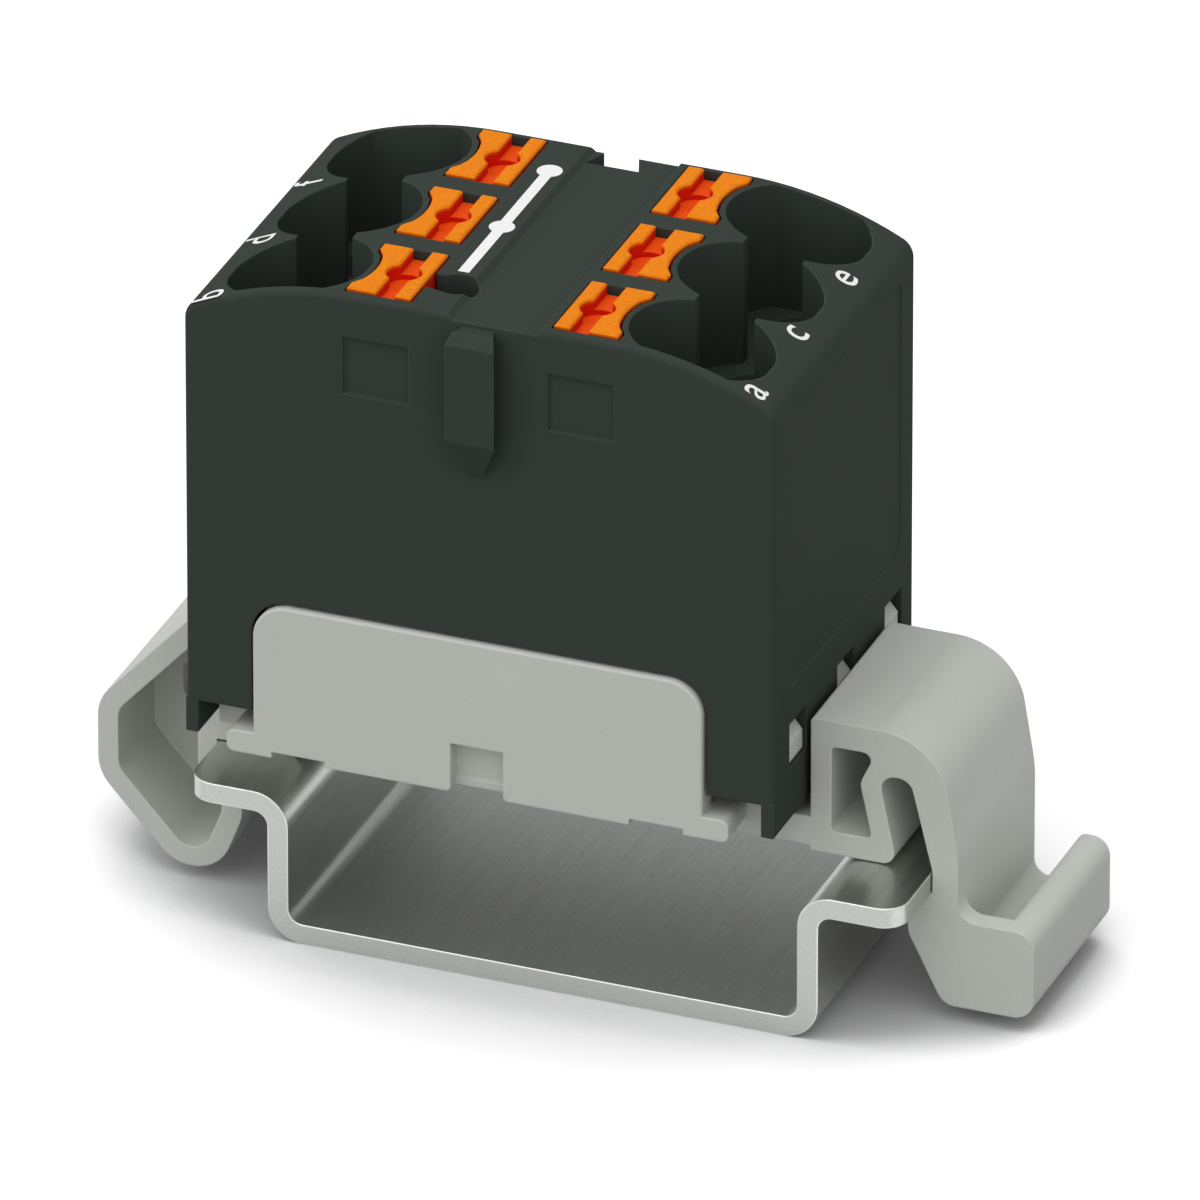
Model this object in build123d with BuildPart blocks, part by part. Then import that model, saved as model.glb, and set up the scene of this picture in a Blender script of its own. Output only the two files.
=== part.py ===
import os
from math import asin, degrees, radians, sqrt, tan

from build123d import *

os.makedirs("parts", exist_ok=True)

# Frame: X across the rail, Y along the rail, Z up.
# The origin is the middle of the rail's underside.

# Top-hat rail
rail_width = 35.0
rail_flange = 4.0
rail_height = 7.5
rail_thickness = 1.0
rail_length = 18.0
rail_inner_bend = 0.7
rail_corner = 1.2

# Housing: its middle lies a little to one side of the rail's middle
block_x = -3.1
block_width = 28.8
block_height = 23.95
leg_clearance = 2.55
leg_thickness = 0.6
wall_foot = 1.65
crown_flat = 12.0
crown_radius = 18.0
shoulder_radius = 1.0
edge_radius = 0.3
hollow_height = 5.6
hollow_wall = 0.7
strip_left = -1.25
strip_right = 3.0
strip_drop = 0.3

# Clamping points: three rows of two, in millimetres from the housing's middle
row_pitch = 6.08
row_count = 3
row_margin = 2.87
pocket_x = 10.05
pocket_radius = 3.1
pocket_lobe_x = 9.35
pocket_lobe_radius = 2.93
pocket_link_inner = 8.35
pocket_link_outer = 11.2
pocket_reach = 13.1
pocket_wall = 0.45
pocket_floor = 17.5
funnel_radius = 2.3
funnel_foot = 16.0
conductor_radius = 1.65
chamber_inner = 4.4
chamber_outer = 12.5
chamber_width = 3.5
chamber_top = 14.4

# Release buttons
button_inner = 3.5
button_outer = 6.6
button_waist = 6.05
button_length = 4.65
button_ear = 0.52
button_ear_slope = 0.5
button_proud = 0.15
button_shoulder = 15.3
button_foot = 13.55
button_foot_x = 5.45
button_foot_width = 1.1
button_foot_length = 2.8
button_catch = 0.4
button_catch_height = 0.9
button_gap = 0.12
button_travel = 1.5
button_edge = 0.08
slot_x = 4.72
slot_width = 0.92
slot_depth = 0.6
well_radius = 0.83
well_depth = 0.85

# Contact strip and clamping springs
strip_thickness = 0.6
strip_bend = 0.3
bus_bottom = 5.8
tab_face = 11.65
tab_top = 12.6
tab_width = 3.2
spine_width = 6.0
fit_gap = 0.1
spring_thickness = 0.25
spring_width = 3.0
spring_back_x = 4.65
spring_bend_radius = 0.95
spring_tip_gap = 0.3
spring_slope = 45.0

# Details of the housing's faces
lug_width = 2.4
lug_neck = 1.5
lug_depth = 1.1
lug_top = 23.4
lug_bottom = 18.0
lug_tip = 16.1
lug_tip_width = 0.7
lug_tip_depth = 0.25
lug_chamfer = 0.45
groove_gap = 0.1
panel_x = 5.0
panel_width = 3.2
panel_bottom = 18.9
panel_top = 21.8
panel_depth = 0.15
side_panel_y = 7.25
side_panel_bottom = 6.75
side_panel_top = 20.8
side_panel_radius = 0.7
side_panel_depth = 0.06
test_x = -2.13
test_radius = 1.0
test_link_depth = 1.2
test_link_front = -0.72
test_link_back = 0.63

# Rail adapter: heights are taken from the top of the rail
plate_width = 22.0
plate_top = 9.9
plate_bottom = 2.05
plate_proud = 0.25
plate_thickness = 1.25
plate_radius = 1.7
plate_gap = 0.15
plate_edge = 0.08
slab_width = 24.6
slab_top = 3.15
slab_radius = 0.35
relief_inner = 7.45
relief_outer = 10.1
relief_height = 0.3
notch_width = 2.6
notch_height = 2.5
notch_depth = 0.9
notch_radius = 0.25
notch_step = 0.4
notch_step_depth = 0.1
beam_depth = 9.94
beam_top = 1.75
beam_lift = 0.3
rail_gap = 0.05
tip_gap = 0.12
foot_gap = 0.05
foot_height = 6.9
foot_wall = 1.0
foot_lip = 0.15
foot_reach = 5.9
ledge_height = -2.24
groove_near = 1.3
groove_far = 3.4
groove_floor = -4.78
groove_round = 0.8
groove_rim = 1.05
lip_round = 0.5
side_gap = 0.3
prong_width = 1.9
prong_thickness = 1.2
prong_gap = 0.15
prong_top = 4.6
prong_lug = 0.6
prong_lug_bottom = 2.7
prong_lug_flat = 0.95
prong_lead = 0.75
window_width = 2.2
window_bottom = 2.6
window_top = 4.9
window_shift = 0.25
hook_band = 1.0
hook_wall = 0.93
hook_wall_foot = -1.6
web_thickness = 1.0
window_inner_low = 1.2
window_inner_high = 5.6
window_inner_radius = 0.25
nose_reach = 0.5

# Outlines of the two feet: distance outwards from the rail's edge, height over
# the rail's top, and the radius at that corner
catch_height = -rail_thickness - rail_gap
release_foot = [
    (0.31, foot_height, 3.3),
    (groove_near, 0.9, 8.0),
    (groove_near, ledge_height, 0.9),
    (5.0, ledge_height, 0.9),
    (5.0, -6.7, 1.0),
    (0.6, -6.7, 0.9),
    (-1.1, -3.3, 1.2),
    (-1.3, catch_height, 0.2),
    (foot_gap, catch_height, 0.1),
    (foot_gap, 0.1, 0.5),
    (-1.05, 4.6, 0.75),
    (-2.63, 4.6, 0.7),
    (-1.68, rail_gap, 0.6),
]
release_window = [
    (-2.75, 5.6, 0.4),
    (-3.5, 4.0, 0.9),
    (-2.9, 1.2, 0.25),
]
hook_path = [
    (0.6, 6.2, 0),
    (5.52, 0.8, 1.6),
    (5.52, -2.6, 1.6),
    (0.9, -7.66, 1.5),
    (-0.6, -3.8, 1.0),
    (-0.6, catch_height, 0),
]
hook_web = [
    (0.6, 5.6, 0.3),
    (5.52, 0.8, 1.6),
    (5.52, -2.6, 1.6),
    (1.4, -6.3, 0.8),
    (0.1, -5.2, 0.8),
    (0.15, -2.0, 0.3),
    (0.6, -1.5, 0.3),
]
hook_window = [
    (1.05, 3.4, 0.3),
    (1.05, -0.7, 0.3),
    (3.6, -0.7, 0.5),
    (3.6, 1.0, 0.5),
]

# How far joined shapes run into each other, and how far cuts run past a face
overlap = 0.1
cut_past = 1.0
same_place = 0.01

# Places worked out from the sizes above
rail_outer_bend = rail_inner_bend + rail_thickness
rail_tip = rail_width / 2
rail_base = rail_width - 2 * rail_flange
pad_inner = rail_base / 2 - rail_thickness
leg_z = rail_height + leg_clearance
block_depth = (row_count - 1) * row_pitch + 2 * row_margin
half_width = block_width / 2
half_depth = block_depth / 2
button_top = block_height + button_proud
catch_x = button_outer + button_catch / 2
catch_pitch = button_length - button_ear
row_places = [(row - (row_count - 1) / 2) * row_pitch for row in range(row_count)]
points = {
    "a": (1, row_places[0]),
    "b": (-1, row_places[0]),
    "c": (1, row_places[1]),
    "d": (-1, row_places[1]),
    "e": (1, row_places[2]),
    "f": (-1, row_places[2]),
}
wall_x = block_x + half_width + side_gap
foot_spread = max(0, wall_x + foot_reach - rail_tip)
hook_spread = max(0, half_width - block_x - rail_tip)
hook_x = -rail_tip - hook_spread - tip_gap
ledge_z = rail_height + ledge_height
plate_face = half_depth + plate_proud
block_plan = Plane(origin=(block_x, 0, leg_z), x_dir=(1, 0, 0), z_dir=(0, 0, 1))
block_front = Plane(origin=(block_x, 0, leg_z), x_dir=(1, 0, 0), z_dir=(0, -1, 0))
block_side = Plane(origin=(block_x, 0, leg_z), x_dir=(0, 1, 0), z_dir=(1, 0, 0))
adapter_plan = Plane(origin=(block_x, 0, rail_height), x_dir=(1, 0, 0), z_dir=(0, 0, 1))
adapter_front = Plane(origin=(block_x, 0, rail_height), x_dir=(1, 0, 0), z_dir=(0, -1, 0))
rail_front = Plane(origin=(0, 0, rail_height), x_dir=(1, 0, 0), z_dir=(0, -1, 0))


def corners_at(x, height):
    """Corners of the sketch in hand at a distance either side of its middle."""
    return [v for v in vertices() if abs(abs(v.X) - x) < same_place and abs(v.Y - height) < same_place]


def foot_points(outline, side):
    """Corners of a foot's outline on one side of the rail, clear of a wide housing."""
    spread = foot_spread if side > 0 else hook_spread
    corners = []
    for outwards, height, _ in outline:
        moved = spread if height > 0 or outwards > nose_reach else 0
        corners.append((side * (rail_tip + outwards + moved), height))
    return corners


def foot_radii(outline):
    """Corner radii of a foot's outline."""
    return [radius for _, _, radius in outline]


def button_face(side, row, gap=0.0):
    """Plan of one release button, grown all round by a gap."""
    half = button_length / 2
    waist_half = half - button_ear - button_ear_slope
    waist_radius = pocket_x - button_waist
    waist_end = side * (pocket_x - sqrt(waist_radius**2 - waist_half**2))
    with BuildSketch() as face:
        with BuildLine():
            ThreePointArc(
                (waist_end, row - waist_half),
                (side * button_waist, row),
                (waist_end, row + waist_half),
            )
            Polyline(
                (waist_end, row + waist_half),
                (side * button_outer, row + half - button_ear),
                (side * button_outer, row + half),
                (side * button_inner, row + half),
                (side * button_inner, row - half),
                (side * button_outer, row - half),
                (side * button_outer, row - half + button_ear),
                (waist_end, row - waist_half),
            )
        make_face()
        if gap:
            offset(amount=gap, kind=Kind.INTERSECTION)
    return face.sketch


# Rail: a folded and cut strip of steel
with BuildPart() as din_rail:
    web = rail_base / 2
    with BuildSketch(Plane.XZ):
        with BuildLine():
            Polyline(
                (0, 0),
                (web, 0),
                (web, rail_height - rail_thickness),
                (rail_tip, rail_height - rail_thickness),
                (rail_tip, rail_height),
                (web - rail_thickness, rail_height),
                (web - rail_thickness, rail_thickness),
                (0, rail_thickness),
            )
            mirror(about=Plane.YZ)
        make_face()
        outer_bends = corners_at(web, 0) + corners_at(web - rail_thickness, rail_height)
        fillet(outer_bends, radius=rail_outer_bend)
        foot_bends = corners_at(web - rail_thickness, rail_thickness)
        flange_bends = corners_at(web, rail_height - rail_thickness)
        fillet(foot_bends + flange_bends, radius=rail_inner_bend)
    extrude(amount=rail_length / 2, both=True)
    upright = edges().filter_by(Axis.Z)
    fillet(upright.filter_by(lambda e: abs(e.center().X) > rail_tip - same_place), radius=rail_corner)

din_rail.part.label = "din_rail"
export_step(din_rail.part, "parts/din_rail.step")


# Dovetail lug on the front face, pointed at its lower end
with BuildPart() as dovetail:
    root = -half_depth + edge_radius
    face = -half_depth - lug_depth
    with BuildSketch(block_plan.offset(lug_tip)):
        with BuildLine():
            Polyline(
                (-lug_neck / 2, root),
                (lug_neck / 2, root),
                (lug_neck / 2, -half_depth),
                (lug_width / 2, face),
                (-lug_width / 2, face),
                (-lug_neck / 2, -half_depth),
                close=True,
            )
        make_face()
    extrude(amount=lug_top - lug_tip)
    with BuildSketch(block_front):
        with BuildLine():
            Polyline(
                (-lug_width / 2, lug_top),
                (lug_width / 2, lug_top),
                (lug_width / 2, lug_bottom),
                (lug_tip_width / 2, lug_tip),
                (-lug_tip_width / 2, lug_tip),
                (-lug_width / 2, lug_bottom),
                close=True,
            )
        make_face()
    extrude(amount=block_depth, both=True, mode=Mode.INTERSECT)
    with BuildSketch(block_side):
        with BuildLine():
            Polyline(
                (root, lug_top),
                (face + lug_chamfer, lug_top),
                (face, lug_top - lug_chamfer),
                (face, lug_bottom),
                (-half_depth - lug_tip_depth, lug_tip),
                (root, lug_tip),
                close=True,
            )
        make_face()
    extrude(amount=lug_width, both=True, mode=Mode.INTERSECT)


# Housing: one black moulding, open below
with BuildPart() as housing:
    fall_angle = degrees(asin((block_width - crown_flat) / 2 / crown_radius))
    with BuildSketch(block_front):
        with BuildLine():
            crown = Line((0, block_height), (crown_flat / 2, block_height))
            fall = JernArc(crown @ 1, crown % 1, crown_radius, -fall_angle)
            side_line = Line(fall @ 1, (half_width, wall_foot))
            Line(side_line @ 1, (0, wall_foot))
            mirror(about=Plane.YZ)
        make_face()
        fillet(corners_at(half_width, (fall @ 1).Y), radius=shoulder_radius)
    extrude(amount=half_depth, both=True)
    rim = edges().filter_by(lambda e: abs(e.center().Y) > half_depth - same_place)
    fillet(rim.filter_by(lambda e: e.center().Z > leg_z + wall_foot + same_place), radius=edge_radius)

    # Side walls run on below the front and back walls as two long legs
    with BuildSketch(block_plan):
        with Locations((half_width - leg_thickness / 2, 0), (leg_thickness / 2 - half_width, 0)):
            Rectangle(leg_thickness, block_depth)
    extrude(amount=wall_foot + overlap)

    # Hollow underside that takes the adapter's prongs
    with BuildSketch(block_plan.offset(-cut_past)):
        Rectangle(block_width - 2 * leg_thickness, block_depth - 2 * hollow_wall)
    extrude(amount=hollow_height + cut_past, mode=Mode.SUBTRACT)

    # Recess round the adapter's plate, at the front and at the back
    recess_top = plate_top - leg_clearance + plate_gap
    recess_depth = plate_thickness - plate_proud + fit_gap
    for end in (1, -1):
        with BuildSketch(block_front.offset(end * half_depth)):
            with Locations((0, (recess_top - cut_past) / 2)):
                Rectangle(plate_width + 2 * plate_gap, recess_top + cut_past)
            top_corners = vertices().group_by(Axis.Y)[-1]
            fillet(top_corners, radius=plate_radius + plate_gap)
        extrude(amount=-end * recess_depth, mode=Mode.SUBTRACT)

    # Windows that the prongs snap into
    with BuildSketch(block_side.offset(-half_width)):
        with Locations((window_shift, (window_bottom + window_top) / 2)):
            with GridLocations(row_pitch, 0, row_count, 1):
                Rectangle(window_width, window_top - window_bottom)
    extrude(amount=block_width, mode=Mode.SUBTRACT)

    # Middle strip, a little lower than the crown on both sides
    with BuildSketch(block_front):
        with BuildLine():
            Polyline(
                (strip_left - strip_drop, block_height),
                (strip_left, block_height - strip_drop),
                (strip_right, block_height - strip_drop),
                (strip_right, block_height + strip_drop),
                (strip_left - strip_drop, block_height + strip_drop),
                close=True,
            )
        make_face()
    extrude(amount=block_depth, both=True, mode=Mode.SUBTRACT)

    # Wire pockets: round wells that run into each other along each side
    with BuildSketch(block_plan.offset(pocket_floor)):
        with GridLocations(2 * pocket_x, row_pitch, 2, row_count):
            Circle(pocket_radius)
        with GridLocations(2 * pocket_lobe_x, row_pitch, 2, row_count):
            Circle(pocket_lobe_radius)
        with GridLocations(pocket_link_inner + pocket_link_outer, 0, 2, 1):
            Rectangle(pocket_link_outer - pocket_link_inner, (row_count - 1) * row_pitch)
        Rectangle(2 * pocket_reach, block_depth - 2 * pocket_wall, mode=Mode.INTERSECT)
    extrude(amount=block_height, mode=Mode.SUBTRACT)
    with Locations(block_plan.offset(funnel_foot)):
        with GridLocations(2 * pocket_x, row_pitch, 2, row_count):
            Cone(
                conductor_radius,
                funnel_radius,
                pocket_floor - funnel_foot,
                align=(Align.CENTER, Align.CENTER, Align.MIN),
                mode=Mode.SUBTRACT,
            )
    with BuildSketch(block_plan.offset(chamber_top)):
        with GridLocations(2 * pocket_x, row_pitch, 2, row_count):
            Circle(conductor_radius)
    extrude(amount=funnel_foot - chamber_top, mode=Mode.SUBTRACT)

    # Contact chambers, open below, and the seat of the contact strip
    with BuildSketch(block_plan.offset(hollow_height)):
        with GridLocations(chamber_inner + chamber_outer, row_pitch, 2, row_count):
            Rectangle(chamber_outer - chamber_inner, chamber_width)
    extrude(amount=chamber_top - hollow_height, mode=Mode.SUBTRACT)
    with BuildSketch(block_plan.offset(hollow_height)):
        Rectangle(spine_width + 2 * fit_gap, (row_count - 1) * row_pitch + tab_width + 2 * fit_gap)
        with GridLocations(0, row_pitch, 1, row_count):
            Rectangle(2 * chamber_inner, tab_width + 2 * fit_gap)
    extrude(amount=bus_bottom + strip_thickness + fit_gap - hollow_height, mode=Mode.SUBTRACT)

    # Guides of the release buttons, with a pair of notches that keep each button in
    guide_foot = button_shoulder - button_travel - 2 * fit_gap
    notch_top = button_shoulder + button_catch_height + button_gap
    for side, row in points.values():
        with BuildSketch(block_plan.offset(guide_foot)):
            add(button_face(side, row, button_gap))
        extrude(amount=block_height, mode=Mode.SUBTRACT)
        with BuildSketch(block_plan.offset(guide_foot)):
            with Locations((side * catch_x, row)):
                with GridLocations(0, catch_pitch, 1, 2):
                    Rectangle(button_catch + 2 * button_gap, button_ear + 2 * button_gap)
        extrude(amount=notch_top - guide_foot, mode=Mode.SUBTRACT)

    # Test socket beside one button, down to the contact strip, with a shallow link to
    # the button's guide
    with BuildSketch(block_plan.offset(bus_bottom)):
        with Locations((test_x, row_places[0])):
            Circle(test_radius)
    extrude(amount=block_height, mode=Mode.SUBTRACT)
    with BuildSketch(block_plan.offset(block_height - test_link_depth)):
        with BuildLine():
            Polyline(
                (-button_inner, row_places[0] + test_link_front),
                (test_x, row_places[0] - test_radius),
                (test_x, row_places[0] + test_link_back),
                (-button_inner, row_places[0] + test_link_back),
                close=True,
            )
        make_face()
    extrude(amount=block_height, mode=Mode.SUBTRACT)

    # Shallow panel in each side face
    for side in (1, -1):
        with BuildSketch(block_side.offset(side * half_width)):
            with Locations((0, (side_panel_bottom + side_panel_top) / 2)):
                panel_height = side_panel_top - side_panel_bottom
                RectangleRounded(2 * side_panel_y, panel_height, side_panel_radius)
        extrude(amount=-side * side_panel_depth, mode=Mode.SUBTRACT)

    # Shallow square panels and the dovetail lug on the front face
    with BuildSketch(block_front.offset(half_depth)):
        with Locations((0, (panel_bottom + panel_top) / 2)):
            with GridLocations(2 * panel_x, 0, 2, 1):
                Rectangle(panel_width, panel_top - panel_bottom)
    extrude(amount=-panel_depth, mode=Mode.SUBTRACT)
    add(dovetail.part)

    # Dovetail groove in the back face, open at the top
    with BuildSketch(block_plan.offset(lug_tip - groove_gap)):
        with BuildLine():
            Polyline(
                (-lug_neck / 2 - groove_gap, half_depth + cut_past),
                (-lug_neck / 2 - groove_gap, half_depth),
                (-lug_width / 2 - groove_gap, half_depth - lug_depth - groove_gap),
                (lug_width / 2 + groove_gap, half_depth - lug_depth - groove_gap),
                (lug_neck / 2 + groove_gap, half_depth),
                (lug_neck / 2 + groove_gap, half_depth + cut_past),
                close=True,
            )
        make_face()
    extrude(amount=block_height, mode=Mode.SUBTRACT)

housing.part.label = "housing"
export_step(housing.part, "parts/housing.step")


# Contact strip: bent copper, one folded tab for each conductor
with BuildPart() as busbar:
    tab_x = tab_face + strip_thickness / 2
    strip_z = bus_bottom + strip_thickness / 2
    for row in row_places:
        with BuildSketch(block_front.offset(-row - tab_width / 2)):
            with BuildLine():
                FilletPolyline(
                    (-tab_x, tab_top),
                    (-tab_x, strip_z),
                    (tab_x, strip_z),
                    (tab_x, tab_top),
                    radius=strip_bend + strip_thickness / 2,
                )
            trace(line_width=strip_thickness)
        extrude(amount=tab_width)
    with BuildSketch(block_plan.offset(bus_bottom)):
        Rectangle(spine_width, (row_count - 1) * row_pitch + tab_width)
    extrude(amount=strip_thickness)

busbar.part.label = "busbar"
export_step(busbar.part, "parts/busbar.step")


# Clamping springs: bent strips with a back leg, a bend and a slanting clamping leg
spring_foot = bus_bottom + strip_thickness
half_turn = radians(180 - 90 - spring_slope) / 2
bend_top = button_foot - fit_gap - spring_thickness / 2
spring_corner = bend_top - spring_bend_radius + spring_bend_radius / tan(half_turn)
spring_tip_x = tab_face - spring_tip_gap
spring_tip_z = spring_corner - (spring_tip_x - spring_back_x) * tan(radians(spring_slope))
for letter, (side, row) in points.items():
    with BuildPart() as spring:
        with BuildSketch(block_front.offset(-row)):
            with BuildLine():
                FilletPolyline(
                    (side * spring_back_x, spring_foot),
                    (side * spring_back_x, spring_corner),
                    (side * spring_tip_x, spring_tip_z),
                    radius=spring_bend_radius,
                )
            trace(line_width=spring_thickness)
        extrude(amount=spring_width / 2, both=True)
    spring.part.label = f"clamp_spring_{letter}"
    export_step(spring.part, f"parts/clamp_spring_{letter}.step")


# Release buttons: a shaft with a screwdriver slot, two catches and a foot over the spring
for letter, (side, row) in points.items():
    with BuildPart() as button:
        with BuildSketch(block_plan.offset(button_shoulder)):
            add(button_face(side, row))
        extrude(amount=button_top - button_shoulder)
        with BuildSketch(block_plan.offset(button_top)):
            with Locations((side * slot_x, row)):
                Rectangle(slot_width, 2 * button_length)
        extrude(amount=-slot_depth, mode=Mode.SUBTRACT)
        with BuildSketch(block_plan.offset(button_top)):
            with Locations((side * slot_x, row)):
                Circle(well_radius)
        extrude(amount=-well_depth, mode=Mode.SUBTRACT)
        chamfer(edges().group_by(Axis.Z)[-1], length=button_edge)
        with BuildSketch(block_plan.offset(button_shoulder)):
            with Locations((side * (catch_x - overlap), row)):
                with GridLocations(0, catch_pitch, 1, 2):
                    Rectangle(button_catch + 2 * overlap, button_ear)
        extrude(amount=button_catch_height)
        with BuildSketch(block_plan.offset(button_foot)):
            with Locations((side * button_foot_x, row)):
                Rectangle(button_foot_width, button_foot_length)
        extrude(amount=button_shoulder - button_foot)
    button.part.label = f"release_button_{letter}"
    export_step(button.part, f"parts/release_button_{letter}.step")


# The adapter's release foot: wall, outer bow, ledge for a screwdriver and nose under
# the flange
with BuildPart() as sprung_foot:
    with BuildSketch(rail_front):
        with BuildLine():
            FilletPolyline(
                (wall_x, rail_gap),
                (wall_x, foot_height),
                *foot_points(release_foot, 1),
                radius=[0, foot_lip] + foot_radii(release_foot),
                close=True,
            )
        make_face()
        with BuildLine():
            FilletPolyline(
                (wall_x + foot_wall, window_inner_low),
                (wall_x + foot_wall, window_inner_high),
                *foot_points(release_window, 1),
                radius=[window_inner_radius] * 2 + foot_radii(release_window),
                close=True,
            )
        make_face(mode=Mode.SUBTRACT)
    extrude(amount=beam_depth / 2, both=True)

    # Groove for a screwdriver, with a rim at the front and a rounded lip outside
    groove_inner = rail_tip + foot_spread + groove_near
    groove_outer = rail_tip + foot_spread + groove_far
    with BuildSketch(rail_front.offset(beam_depth / 2 - groove_rim)):
        with BuildLine():
            FilletPolyline(
                (groove_inner, 0),
                (groove_inner, groove_floor),
                (groove_outer, groove_floor),
                (groove_outer, 0),
                radius=[groove_round, groove_round],
            )
            Line((groove_outer, 0), (groove_inner, 0))
        make_face()
    extrude(amount=-beam_depth, mode=Mode.SUBTRACT)
    lip_corner = Vector(groove_outer, 0, ledge_z)
    lip = edges().filter_by(Axis.Y).sort_by(lambda e: (e.center() - lip_corner).length)[0]
    fillet(lip, radius=lip_round)


# The adapter's fixed hook: a bowed band that ends under the flange
with BuildPart() as fixed_hook:
    with BuildSketch(rail_front):
        with BuildLine():
            FilletPolyline(
                *foot_points(hook_path, -1),
                radius=foot_radii(hook_path)[1:-1],
            )
        trace(line_width=hook_band)
    extrude(amount=beam_depth / 2, both=True)


# The adapter's plates, one in each end face of the housing
with BuildPart() as plates:
    with BuildSketch(adapter_front):
        with Locations((0, (plate_bottom + plate_top) / 2)):
            Rectangle(plate_width, plate_top - plate_bottom)
        fillet(vertices().group_by(Axis.Y)[-1], radius=plate_radius)
    extrude(amount=plate_face, both=True)
    chamfer(faces().filter_by(Axis.Y).edges(), length=plate_edge)
    with BuildSketch(adapter_front):
        Rectangle(2 * plate_width, 4 * plate_top)
    extrude(amount=plate_face - plate_thickness, both=True, mode=Mode.SUBTRACT)


# Rail adapter: one grey moulding with a fixed hook and a sprung release foot
with BuildPart() as rail_adapter:
    # Beam across the rail, with a riser under the slab
    with BuildSketch(rail_front):
        with BuildLine():
            Polyline(
                (hook_x - hook_wall / 2, rail_gap),
                (-pad_inner, rail_gap),
                (-pad_inner, beam_lift),
                (wall_x + foot_wall / 2, beam_lift),
                (wall_x + foot_wall / 2, beam_top),
                (hook_x - hook_wall / 2, beam_top),
                close=True,
            )
        make_face()
    extrude(amount=beam_depth / 2, both=True)
    with BuildSketch(adapter_plan.offset(beam_top - overlap)):
        Rectangle(slab_width, beam_depth)
    extrude(amount=plate_bottom - beam_top + 2 * overlap)

    # Slab that carries the plates and the prongs
    with BuildSketch(adapter_front):
        with Locations((0, (plate_bottom + slab_top) / 2)):
            RectangleRounded(slab_width, slab_top - plate_bottom, slab_radius)
    extrude(amount=plate_face, both=True)

    # Plates, each with a notch and two small reliefs in its lower edge
    add(plates.part)
    for end in (1, -1):
        with BuildSketch(adapter_front.offset(end * plate_face)):
            with BuildLine():
                Polyline(
                    (notch_width / 2 + 2 * notch_radius, plate_bottom - cut_past),
                    (notch_width / 2 + 2 * notch_radius, plate_bottom),
                    (notch_width / 2, plate_bottom),
                    (notch_width / 2, plate_bottom + notch_height),
                    (-notch_width / 2, plate_bottom + notch_height),
                    (-notch_width / 2, plate_bottom),
                    (-notch_width / 2 - 2 * notch_radius, plate_bottom),
                    (-notch_width / 2 - 2 * notch_radius, plate_bottom - cut_past),
                    close=True,
                )
            make_face()
            fillet(corners_at(notch_width / 2, plate_bottom), radius=notch_radius)
        extrude(amount=-end * notch_depth, mode=Mode.SUBTRACT)
        with BuildSketch(adapter_front.offset(end * (plate_face - notch_depth + notch_step_depth))):
            with Locations((0, plate_bottom + notch_step / 2)):
                Rectangle(notch_width + 2 * overlap, notch_step)
        extrude(amount=-end * 2 * notch_step_depth)
        with BuildSketch(adapter_front.offset(end * plate_face)):
            relief_x = (relief_inner + relief_outer) / 2
            with Locations((relief_x, plate_bottom), (-relief_x, plate_bottom)):
                Rectangle(relief_outer - relief_inner, 2 * relief_height)
        extrude(amount=-end * plate_thickness, mode=Mode.SUBTRACT)

    # Prongs that snap into the housing's side windows
    prong_face = half_width - leg_thickness - prong_gap
    prong_base = plate_bottom - leg_clearance
    for side in (1, -1):
        for row in row_places:
            with BuildSketch(block_front.offset(-row - window_shift)):
                with BuildLine():
                    Polyline(
                        (side * (slab_width / 2 - slab_radius), prong_base),
                        (side * prong_face, prong_base),
                        (side * prong_face, prong_lug_bottom),
                        (side * (prong_face + prong_lug), prong_lug_bottom),
                        (side * (prong_face + prong_lug), prong_lug_bottom + prong_lug_flat),
                        (side * (prong_face + prong_lug - prong_lead), prong_top),
                        (side * (prong_face - prong_thickness), prong_top),
                        (side * (prong_face - prong_thickness), slab_top - leg_clearance),
                        (side * (slab_width / 2 - slab_radius), slab_top - leg_clearance),
                        close=True,
                    )
                make_face()
            extrude(amount=prong_width / 2, both=True)

    # Feet, with the hook's wall outside the rail's edge and its web
    add(sprung_foot.part)
    add(fixed_hook.part)
    with BuildSketch(rail_front):
        with BuildLine():
            Polyline(
                (hook_x, hook_wall_foot),
                (hook_x, hook_path[0][1]),
                (hook_x - hook_wall, hook_path[0][1]),
                (hook_x - hook_wall, hook_wall_foot),
                close=True,
            )
        make_face()
    extrude(amount=beam_depth / 2, both=True)
    with BuildSketch(rail_front):
        with BuildLine():
            FilletPolyline(
                *foot_points(hook_web, -1),
                radius=foot_radii(hook_web),
                close=True,
            )
        make_face()
        with BuildLine():
            FilletPolyline(
                *foot_points(hook_window, -1),
                radius=foot_radii(hook_window),
                close=True,
            )
        make_face(mode=Mode.SUBTRACT)
    extrude(amount=web_thickness / 2, both=True)

rail_adapter.part.label = "rail_adapter"
export_step(rail_adapter.part, "parts/rail_adapter.step")
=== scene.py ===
import math

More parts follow.
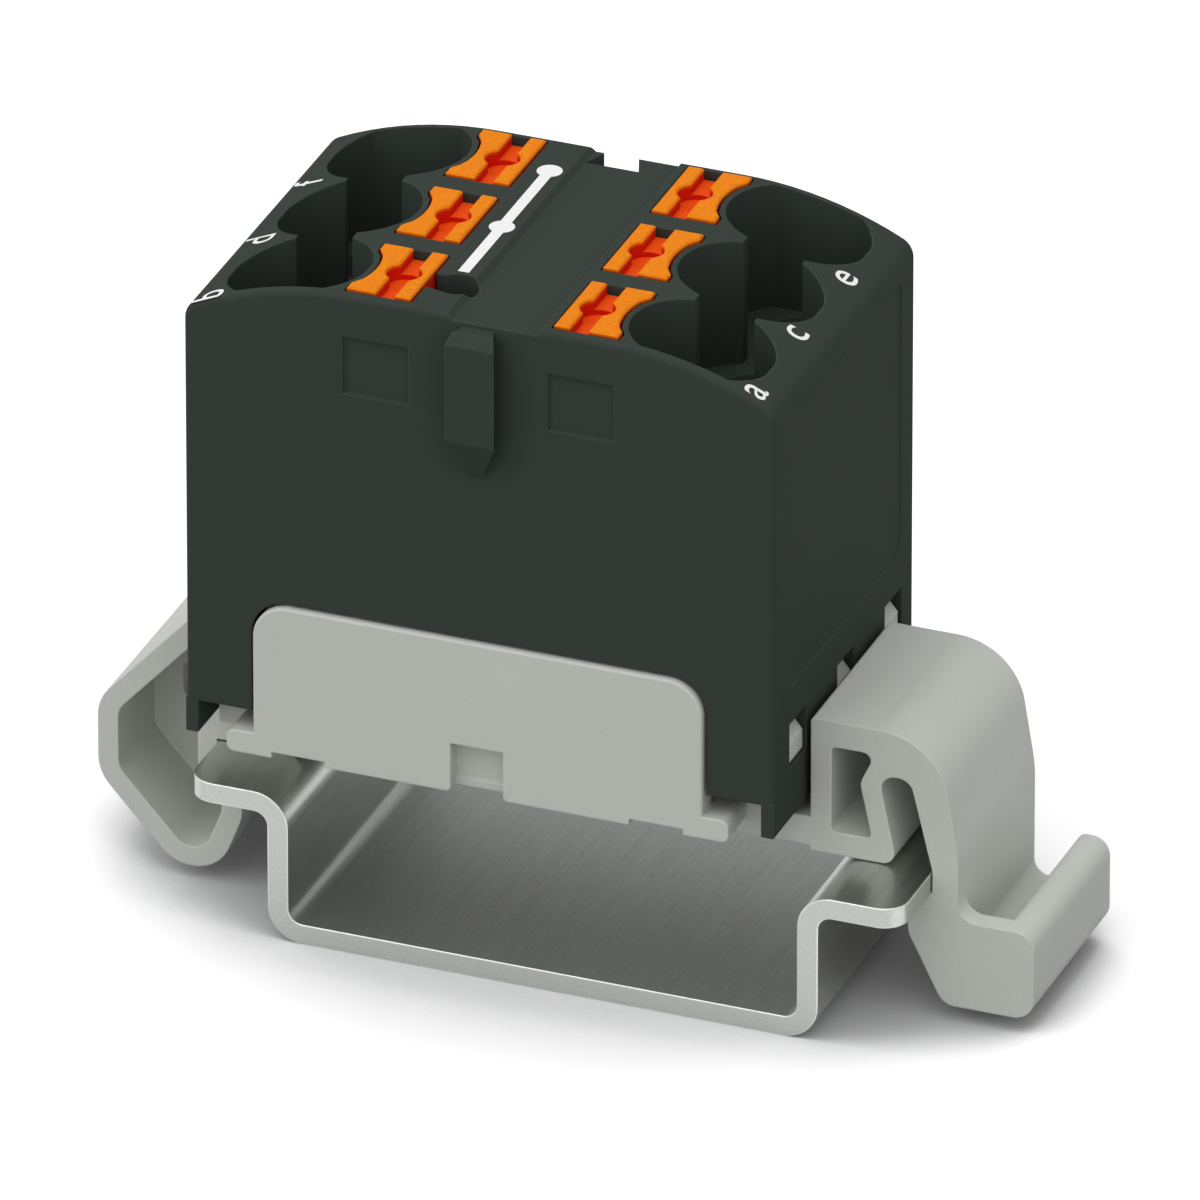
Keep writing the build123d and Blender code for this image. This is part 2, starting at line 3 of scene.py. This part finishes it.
import bmesh
import bpy
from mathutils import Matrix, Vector


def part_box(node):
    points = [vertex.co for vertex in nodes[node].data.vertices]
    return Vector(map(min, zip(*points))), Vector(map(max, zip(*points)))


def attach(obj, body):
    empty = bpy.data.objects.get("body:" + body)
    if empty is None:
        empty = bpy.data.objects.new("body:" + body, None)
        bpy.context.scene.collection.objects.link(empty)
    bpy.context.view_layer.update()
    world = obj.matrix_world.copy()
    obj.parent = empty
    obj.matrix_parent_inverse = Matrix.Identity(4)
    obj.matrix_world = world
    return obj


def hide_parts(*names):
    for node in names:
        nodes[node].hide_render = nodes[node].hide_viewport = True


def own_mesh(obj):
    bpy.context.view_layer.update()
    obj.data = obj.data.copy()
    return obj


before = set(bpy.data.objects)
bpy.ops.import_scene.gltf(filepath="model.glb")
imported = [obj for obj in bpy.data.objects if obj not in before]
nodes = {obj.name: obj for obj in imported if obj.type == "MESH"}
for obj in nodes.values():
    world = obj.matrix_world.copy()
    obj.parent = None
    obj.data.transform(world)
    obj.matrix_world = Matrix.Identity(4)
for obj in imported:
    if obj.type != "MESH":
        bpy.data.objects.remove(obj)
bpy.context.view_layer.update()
letters = "abcdef"


# Contact strip: one bent strip of copper that joins all six points. It is tin
# plated after bending, so it shows a soft pale metal with fine rolling lines. They
# are finer than 0.02 mm on the real strip and are drawn coarse enough to show.

mm = 0.001
tin_dull = "#B9B5AC"
tin_bright = "#C9C6BE"
tin_blotch = 1.5 * mm
tin_line = 0.06 * mm
tin_line_length = 4 * mm


def linear(hex_colour):
    """Turns an sRGB hex value to linear red, green, blue and alpha."""
    parts = [int(hex_colour[i:i + 2], 16) / 255 for i in (1, 3, 5)]
    return [c / 12.92 if c <= 0.04045 else ((c + 0.055) / 1.055) ** 2.4 for c in parts] + [1.0]


def add(tree, kind, inputs, **settings):
    """Adds a node to a material, and sets or links its inputs."""
    made = tree.nodes.new("ShaderNode" + kind)
    for name, value in settings.items():
        setattr(made, name, value)
    for name, value in inputs.items():
        if isinstance(value, bpy.types.NodeSocket):
            tree.links.new(value, made.inputs[name])
        else:
            made.inputs[name].default_value = value
    return made


def blend(tree, share, low, high):
    """The colour between two others, each a hex value or a socket."""
    ends = [linear(end) if isinstance(end, str) else end for end in (low, high)]
    return add(tree, "Mix", {0: share, 6: ends[0], 7: ends[1]}, data_type="RGBA").outputs[2]


def start(name):
    """A new material, with its tree and its shader."""
    made = bpy.data.materials.new(name)
    made.use_nodes = True
    return made, made.node_tree, made.node_tree.nodes["Principled BSDF"]


def dress(data, finish):
    """Gives a mesh one material in place of those it has."""
    data.materials.clear()
    data.materials.append(finish)


tin_plate, tree, shader = start("tin_plated_copper")
shader.inputs["Metallic"].default_value = 1.0
place = add(tree, "TexCoord", {}).outputs["Object"]
stretch = (1 / tin_line_length, 1 / tin_line, 1 / tin_line)
lines = add(tree, "Mapping", {"Vector": place, "Scale": stretch})
grain = add(tree, "TexNoise", {"Vector": lines.outputs["Vector"], "Scale": 1.0, "Detail": 3.0})
blotch = add(tree, "TexNoise", {"Vector": place, "Scale": 1 / tin_blotch, "Detail": 2.0})
tree.links.new(blend(tree, blotch.outputs["Fac"], tin_dull, tin_bright), shader.inputs["Base Color"])
gloss = add(tree, "MapRange", {"Value": grain.outputs["Fac"], "To Min": 0.28, "To Max": 0.45})
tree.links.new(gloss.outputs["Result"], shader.inputs["Roughness"])
dress(nodes["busbar"].data, tin_plate)


# Clamping springs: six leaf springs bent from thin stainless strip, brighter than
# the tin, with rolling lines. On the real terminal each flattens onto its foot as its
# button is pressed; here a copy of each solid's mesh stands for it, attached to the block.

strip_dull = "#A7A8A6"
strip_bright = "#C4C5C3"
# The real strip's lines are finer than 0.02 mm and are drawn coarse enough to show.
strip_line = 0.05 * mm
strip_line_length = 5 * mm

spring_steel, tree, shader = start("stainless_spring_strip")
shader.inputs["Metallic"].default_value = 1.0
place = add(tree, "TexCoord", {}).outputs["Object"]
stretch = (1 / strip_line_length, 1 / strip_line, 1 / strip_line_length)
lines = add(tree, "Mapping", {"Vector": place, "Scale": stretch})
grain = add(tree, "TexNoise", {"Vector": lines.outputs["Vector"], "Scale": 1.0, "Detail": 2.0})
tree.links.new(blend(tree, grain.outputs["Fac"], strip_dull, strip_bright), shader.inputs["Base Color"])
gloss = add(tree, "MapRange", {"Value": grain.outputs["Fac"], "To Min": 0.22, "To Max": 0.36})
tree.links.new(gloss.outputs["Result"], shader.inputs["Roughness"])
for letter in letters:
    solid = f"clamp_spring_{letter}"
    low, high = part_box(solid)
    spring = bpy.data.objects.new(f"leaf_spring_{letter}", nodes[solid].data.copy())
    bpy.context.scene.collection.objects.link(spring)
    dress(spring.data, spring_steel)
    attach(spring, "block")
    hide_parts(solid)
    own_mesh(spring)


# Housing: one moulding of black polyamide with a spark-eroded mould finish. That
# gives a matt dark green grey with a very fine grain and faint flow tone, and its
# edges are slightly rounded by the mould, with a painted highlight making them paler.

black_deep = "#383F3A"
black_pale = "#3C433E"
black_painted_highlight = "#4C534F"
# The real grain is about 0.04 mm and is drawn coarse enough to show.
mould_grain = 0.11 * mm
mould_relief = 0.006 * mm
flow_tone = 6 * mm
edge_round = 0.12 * mm
edge_start = 0.99
edge_full = 0.8


def soften(tree, full_turn):
    """The normal of a piece whose edges are rounded, and how far each point is on one."""
    soft = add(tree, "Bevel", {"Radius": edge_round}, samples=6).outputs["Normal"]
    face = add(tree, "NewGeometry", {}).outputs["Normal"]
    turn = add(tree, "VectorMath", {0: soft, 1: face}, operation="DOT_PRODUCT").outputs["Value"]
    rim = add(tree, "MapRange", {"Value": turn, "From Min": edge_start, "From Max": full_turn})
    return soft, rim.outputs["Result"]


def roughen(tree, shader, grain, strength, depth, soft=None):
    """Raises a fine grain on a piece's surface."""
    inputs = {"Height": grain.outputs["Fac"], "Strength": strength, "Distance": depth}
    if soft is not None:
        inputs["Normal"] = soft
    relief = add(tree, "Bump", inputs)
    tree.links.new(relief.outputs["Normal"], shader.inputs["Normal"])


black_polyamide, tree, shader = start("black_polyamide")
shader.inputs["IOR"].default_value = 1.53
shader.inputs["Specular IOR Level"].default_value = 0.015
place = add(tree, "TexCoord", {}).outputs["Object"]
flow = add(tree, "TexNoise", {"Vector": place, "Scale": 1 / flow_tone, "Detail": 3.0})
grain = add(tree, "TexNoise", {"Vector": place, "Scale": 1 / mould_grain, "Detail": 2.0})
tone = blend(tree, flow.outputs["Fac"], black_deep, black_pale)
gloss = add(tree, "MapRange", {"Value": grain.outputs["Fac"], "To Min": 0.62, "To Max": 0.74})
tree.links.new(gloss.outputs["Result"], shader.inputs["Roughness"])
soft, rim = soften(tree, edge_full)
# Painted highlight: the colour turns paler where the rounded edges bend away.
tree.links.new(blend(tree, rim, tone, black_painted_highlight), shader.inputs["Base Color"])
roughen(tree, shader, grain, 0.25, mould_relief, soft)
dress(nodes["housing"].data, black_polyamide)


# Release buttons: six mouldings of orange polybutylene. They have a finely
# speckled satin top. Down in the slot the colour is painted redder, as bounced light,
# and painted shade makes the slot walls darker than its floor.

# The real speckle is finer than 0.05 mm and is drawn coarse enough to show.
speckle = 0.1 * mm
speckle_relief = 0.01 * mm
orange_deep = "#DE7606"
orange_pale = "#EE8A12"
slot_wall_painted_shade = "#D0200E"
slot_floor_painted_bounce = "#EC5210"
slot_from = 0.06 * mm
slot_full = 0.25 * mm
button_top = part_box("release_button_c")[1].z

orange_plastic, tree, shader = start("orange_polybutylene")
shader.inputs["IOR"].default_value = 1.55
shader.inputs["Specular IOR Level"].default_value = 0.06
coordinates = add(tree, "TexCoord", {})
place = coordinates.outputs["Object"]
grain = add(tree, "TexNoise", {"Vector": place, "Scale": 1 / speckle, "Detail": 2.0})
spread = add(tree, "MapRange", {"Value": grain.outputs["Fac"], "From Min": 0.3, "From Max": 0.7})
tone = blend(tree, spread.outputs["Result"], orange_deep, orange_pale)
# Painted light and shade: below the top the colour turns to the slot's red, darker on the walls than on
# the upward floor.
height = add(tree, "SeparateXYZ", {"Vector": place}).outputs["Z"]
slot_span = {"From Min": button_top - slot_from, "From Max": button_top - slot_full}
depth = add(tree, "MapRange", {"Value": height, **slot_span})
upward = add(tree, "SeparateXYZ", {"Vector": coordinates.outputs["Normal"]}).outputs["Z"]
lit_floor_share = add(tree, "MapRange", {"Value": upward, "From Min": 0.3, "From Max": 0.7})
painted_slot_light = blend(tree, lit_floor_share.outputs["Result"], slot_wall_painted_shade, slot_floor_painted_bounce)
tone_with_painted_slot_light = blend(tree, depth.outputs["Result"], tone, painted_slot_light)
tree.links.new(tone_with_painted_slot_light, shader.inputs["Base Color"])
gloss = add(tree, "MapRange", {"Value": grain.outputs["Fac"], "To Min": 0.5, "To Max": 0.65})
tree.links.new(gloss.outputs["Result"], shader.inputs["Roughness"])
roughen(tree, shader, grain, 0.4, speckle_relief)
for letter in letters:
    dress(nodes[f"release_button_{letter}"].data, orange_plastic)


# Printed marks: white ink, pad printed on the top of the housing after moulding. A
# line with two dots shows which points are joined, and a letter names each entry.

ink_thin = "#E4E5E4"
ink_full = "#F2F2F2"
ink_patch = 0.3 * mm
ink_lift = 0.02 * mm
line_x = -2.3 * mm
line_half = 0.27 * mm
line_from = -4.9 * mm
dot_radius = 0.6 * mm
dot_places = (-0.13 * mm, 5.81 * mm)
dot_steps = 16
letter_size = 2.1 * mm
letter_weight = 0.012 * mm
letter_places = {
    "a": (13.23 * mm, -8.21 * mm),
    "b": (-13.35 * mm, -8.46 * mm),
    "c": (13.0 * mm, -2.45 * mm),
    "d": (-13.23 * mm, -2.7 * mm),
    "e": (13.11 * mm, 3.48 * mm),
    "f": (-13.25 * mm, 3.46 * mm),
}
crown_flat = 6.0 * mm
crown_radius = 18.0 * mm
housing_low, housing_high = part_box("housing")
middle = (housing_low.x + housing_high.x) / 2


def crown(x):
    """Height of the housing's top at a distance from its middle."""
    past = max(0.0, abs(x) - crown_flat)
    return housing_high.z - crown_radius + math.sqrt(crown_radius**2 - past**2)


def lay_print(name, data):
    """Puts a thin mesh of ink on the housing."""
    dress(data, white_ink)
    printed = bpy.data.objects.new(name, data)
    bpy.context.scene.collection.objects.link(printed)
    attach(printed, "block")


white_ink, tree, shader = start("white_marking_ink")
shader.inputs["Specular IOR Level"].default_value = 0.2
place = add(tree, "TexCoord", {}).outputs["Object"]
patches = add(tree, "TexNoise", {"Vector": place, "Scale": 1 / ink_patch, "Detail": 3.0})
tree.links.new(blend(tree, patches.outputs["Fac"], ink_thin, ink_full), shader.inputs["Base Color"])
gloss = add(tree, "MapRange", {"Value": patches.outputs["Fac"], "To Min": 0.5, "To Max": 0.7})
tree.links.new(gloss.outputs["Result"], shader.inputs["Roughness"])

neck = math.asin(line_half / dot_radius)
outline = [(line_from, line_half)]
for dot, last in zip(dot_places, (math.pi - neck, math.pi)):
    for step in range(dot_steps + 1):
        angle = neck + (last - neck) * step / dot_steps
        outline.append((dot - dot_radius * math.cos(angle), dot_radius * math.sin(angle)))
mesh = bmesh.new()
left = []
right = []
for y, reach in outline:
    z = crown(line_x) + ink_lift
    left.append(mesh.verts.new((middle + line_x - reach, y, z)))
    right.append(mesh.verts.new((middle + line_x + reach, y, z)))
for i in range(len(outline) - 1):
    mesh.faces.new((left[i], right[i], right[i + 1], left[i + 1]))
line_mesh = bpy.data.meshes.new("printed_line")
mesh.to_mesh(line_mesh)
mesh.free()
lay_print("printed_line", line_mesh)

for letter, (across, along) in letter_places.items():
    type_curve = bpy.data.curves.new("type", "FONT")
    type_curve.body = letter
    type_curve.size = letter_size
    type_curve.offset = letter_weight
    type_piece = bpy.data.objects.new("type", type_curve)
    bpy.context.scene.collection.objects.link(type_piece)
    bpy.context.view_layer.update()
    drawn = type_piece.evaluated_get(bpy.context.evaluated_depsgraph_get())
    letter_mesh = bpy.data.meshes.new_from_object(drawn)
    bpy.data.objects.remove(type_piece)
    wide = [v.co.x for v in letter_mesh.vertices]
    high = [v.co.y for v in letter_mesh.vertices]
    for v in letter_mesh.vertices:
        right_by = v.co.x - (min(wide) + max(wide)) / 2
        up_by = v.co.y - (min(high) + max(high)) / 2
        x = across - up_by
        v.co = (middle + x, along + right_by, crown(x) + ink_lift)
    lay_print(f"printed_letter_{letter}", letter_mesh)


# Rail adapter: one moulding of light grey polyamide, filled with glass fibre. It is
# matt, with a fine grain, slightly uneven tone and edges rounded by the mould, which a
# painted highlight makes paler.

grey_deep = "#BDBFB9"
grey_pale = "#CBCDC7"
grey_painted_highlight = "#E2E4DE"
# The real grain is about 0.05 mm and is drawn coarse enough to show.
fibre_grain = 0.13 * mm
fibre_relief = 0.006 * mm
grey_flow = 4 * mm
flow_share = 0.4

grey_polyamide, tree, shader = start("grey_polyamide")
shader.inputs["IOR"].default_value = 1.53
shader.inputs["Specular IOR Level"].default_value = 0.15
place = add(tree, "TexCoord", {}).outputs["Object"]
flow = add(tree, "TexNoise", {"Vector": place, "Scale": 1 / grey_flow, "Detail": 3.0})
grain = add(tree, "TexNoise", {"Vector": place, "Scale": 1 / fibre_grain, "Detail": 2.0})
mottle = {0: flow_share, 2: grain.outputs["Fac"], 3: flow.outputs["Fac"]}
uneven = add(tree, "Mix", mottle, data_type="FLOAT")
tone = blend(tree, uneven.outputs[0], grey_deep, grey_pale)
gloss = add(tree, "MapRange", {"Value": grain.outputs["Fac"], "To Min": 0.5, "To Max": 0.62})
tree.links.new(gloss.outputs["Result"], shader.inputs["Roughness"])
soft, rim = soften(tree, edge_full)
# Painted highlight: the colour turns paler where the rounded edges bend away.
tree.links.new(blend(tree, rim, tone, grey_painted_highlight), shader.inputs["Base Color"])
roughen(tree, shader, grain, 0.3, fibre_relief, soft)
dress(nodes["rail_adapter"].data, grey_polyamide)


# Rail: a short cut length of top-hat rail, rolled from steel strip and bright zinc
# plated. The zinc has fine rolling lines along the rail and is rougher down in the
# trough, where painted shade also darkens its colour. It is pale and matt on the sawn
# ends, and a painted highlight makes its rounded edges almost white.

rolled_dull = "#BEC0BB"
rolled_bright = "#DADCD7"
trough_painted_shade_deep = "#A3A5A2"
trough_painted_shade_pale = "#BBBDBA"
sawn_zinc = "#C6C8C4"
zinc_painted_highlight = "#FCFCFA"
# Real rolling lines and zinc crystals are finer than 0.05 mm and are drawn coarser.
rail_line = 0.2 * mm
rail_line_length = 6 * mm
rail_relief = 0.01 * mm
trough_floor = 1.02 * mm
trough_fade = 0.2 * mm
crystal = 0.12 * mm
trough_rough = 0.5
sawn_rough = 0.6
edge_rough = 0.2
sharp_edge_full = 0.9

zinc, tree, shader = start("bright_zinc_on_steel")
shader.inputs["Metallic"].default_value = 1.0
coordinates = add(tree, "TexCoord", {})
place = coordinates.outputs["Object"]
stretch = (1 / rail_line, 1 / rail_line_length, 1 / rail_line)
lines = add(tree, "Mapping", {"Vector": place, "Scale": stretch})
grain = add(tree, "TexNoise", {"Vector": lines.outputs["Vector"], "Scale": 1.0, "Detail": 2.0})
height = add(tree, "SeparateXYZ", {"Vector": place}).outputs["Z"]
trough_span = {"From Min": trough_floor, "From Max": trough_floor + trough_fade}
raised = add(tree, "MapRange", {"Value": height, **trough_span}).outputs["Result"]
rolled = blend(tree, grain.outputs["Fac"], rolled_dull, rolled_bright)
# Painted shade: the trough floor gets a darker colour than the raised parts.
trough_painted_shade = blend(tree, grain.outputs["Fac"], trough_painted_shade_deep, trough_painted_shade_pale)
facing = add(tree, "SeparateXYZ", {"Vector": coordinates.outputs["Normal"]}).outputs["Y"]
along_rail = add(tree, "Math", {0: facing}, operation="ABSOLUTE").outputs["Value"]
sawn = add(tree, "MapRange", {"Value": along_rail, "From Min": 0.7, "From Max": 0.9}).outputs["Result"]
tone = blend(tree, sawn, blend(tree, raised, trough_painted_shade, rolled), sawn_zinc)
specks = add(tree, "TexNoise", {"Vector": place, "Scale": 1 / crystal, "Detail": 2.0})
sparkle_span = {"From Min": 0.3, "From Max": 0.7, "To Min": 0.88}
sparkle = add(tree, "MapRange", {"Value": specks.outputs["Fac"], **sparkle_span}).outputs["Result"]
flecks = {0: 1.0, 6: tone, 7: sparkle}
flecked = add(tree, "Mix", flecks, data_type="RGBA", blend_type="MULTIPLY").outputs[2]
soft, rim = soften(tree, sharp_edge_full)
# Painted highlight: the colour turns almost white where the rounded edges bend away.
tree.links.new(blend(tree, rim, flecked, zinc_painted_highlight), shader.inputs["Base Color"])
polish = add(tree, "MapRange", {"Value": grain.outputs["Fac"], "To Min": 0.26, "To Max": 0.38})
trough = {0: raised, 2: trough_rough, 3: polish.outputs["Result"]}
settled = add(tree, "Mix", trough, data_type="FLOAT").outputs[0]
ends = add(tree, "Mix", {0: sawn, 2: settled, 3: sawn_rough}, data_type="FLOAT").outputs[0]
gloss = add(tree, "Mix", {0: rim, 2: ends, 3: edge_rough}, data_type="FLOAT").outputs[0]
tree.links.new(gloss, shader.inputs["Roughness"])
roughen(tree, shader, grain, 0.3, rail_relief, soft)
dress(nodes["din_rail"].data, zinc)


# Floor: a plain white sheet for the object to stand on. It isn't part of the
# object. It is white where it lies open. Near the object a painted shadow from
# ambient occlusion darkens it, on top of the object's real shadow.

floor_half = 1.5
shadow_reach = 25 * mm
painted_shadow_paper = "#C2C2C4"
open_paper = "#FAFAFA"
bounce_paper = "#989898"
open_glow = 0.2

floor_mesh = bpy.data.meshes.new("floor")
corners = [(-1, -1), (1, -1), (1, 1), (-1, 1)]
floor_mesh.from_pydata([(x * floor_half, y * floor_half, 0) for x, y in corners], [], [(0, 1, 2, 3)])
floor = bpy.data.objects.new("floor", floor_mesh)
bpy.context.scene.collection.objects.link(floor)
paper, tree, shader = start("white_paper")
shader.inputs["Roughness"].default_value = 0.9
rays = add(tree, "LightPath", {}).outputs
mirrors = {0: rays["Is Glossy Ray"], 1: rays["Is Transmission Ray"]}
mirrored = add(tree, "Math", mirrors, operation="MAXIMUM").outputs["Value"]
seen = add(tree, "Math", {0: rays["Is Camera Ray"], 1: mirrored}, operation="MAXIMUM").outputs["Value"]
# Painted shadow: where ambient occlusion finds the object near, the paper seen by the camera and in
# reflections turns grey and loses its glow.
sky = add(tree, "AmbientOcclusion", {"Distance": shadow_reach}, samples=16).outputs["AO"]
clear = add(tree, "MapRange", {"Value": sky, "From Min": 0.45, "From Max": 0.72}).outputs["Result"]
tone = blend(tree, seen, bounce_paper, blend(tree, clear, painted_shadow_paper, open_paper))
tree.links.new(tone, shader.inputs["Base Color"])
white = add(tree, "Math", {0: clear, 1: open_glow}, operation="MULTIPLY").outputs["Value"]
lift = add(tree, "Math", {0: seen, 1: white}, operation="MULTIPLY").outputs["Value"]
shader.inputs["Emission Color"].default_value = linear("#FFFFFF")
tree.links.new(lift, shader.inputs["Emission Strength"])
dress(floor_mesh, paper)


# Light: a large soft surround, brighter above the front left and darker behind the
# right, with one wide lamp high in front of the object.

bright_side = Vector((-0.3, -0.65, 0.7)).normalized()
dark_level = 0.2
bright_level = 1.15
lamp_side = Vector((-0.1, -0.3, 1.0))
lamp_strength = 0.6
lamp_width = 60

world = bpy.data.worlds.new("studio")
bpy.context.scene.world = world
world.use_nodes = True
tree = world.node_tree
surround = tree.nodes["Background"]
surround.inputs["Color"].default_value = linear("#FFFFFF")
way = add(tree, "TexCoord", {}).outputs["Generated"]
towards = add(tree, "VectorMath", {0: way, 1: bright_side}, operation="DOT_PRODUCT").outputs["Value"]
span = {"From Min": -1.0, "From Max": 1.0, "To Min": dark_level, "To Max": bright_level}
level = add(tree, "MapRange", {"Value": towards, **span})
tree.links.new(level.outputs["Result"], surround.inputs["Strength"])
bpy.context.scene.view_settings.view_transform = "Standard"

lamp = bpy.data.lights.new("soft_lamp", "SUN")
lamp.energy = lamp_strength
lamp.angle = math.radians(lamp_width)
lamp_place = bpy.data.objects.new("soft_lamp", lamp)
lamp_place.rotation_euler = lamp_side.to_track_quat("Z", "Y").to_euler()
bpy.context.scene.collection.objects.link(lamp_place)


# Camera: where the photograph was taken from, a long lens at the front right.

azimuth = math.radians(21.374)
elevation = math.radians(28.188)
distance = 1.3558
aim = Vector((-4.639, 10.17, 9.749)) * mm
lens = 880.68
far_limit = 10

back_x = math.sin(azimuth) * math.cos(elevation)
back_y = -math.cos(azimuth) * math.cos(elevation)
back = Vector((back_x, back_y, math.sin(elevation)))
camera = bpy.data.cameras.new("camera")
camera.lens = lens
camera.clip_end = far_limit
camera_place = bpy.data.objects.new("camera", camera)
camera_place.location = aim + back * distance
camera_place.rotation_euler = back.to_track_quat("Z", "Y").to_euler()
bpy.context.scene.collection.objects.link(camera_place)
bpy.context.scene.camera = camera_place
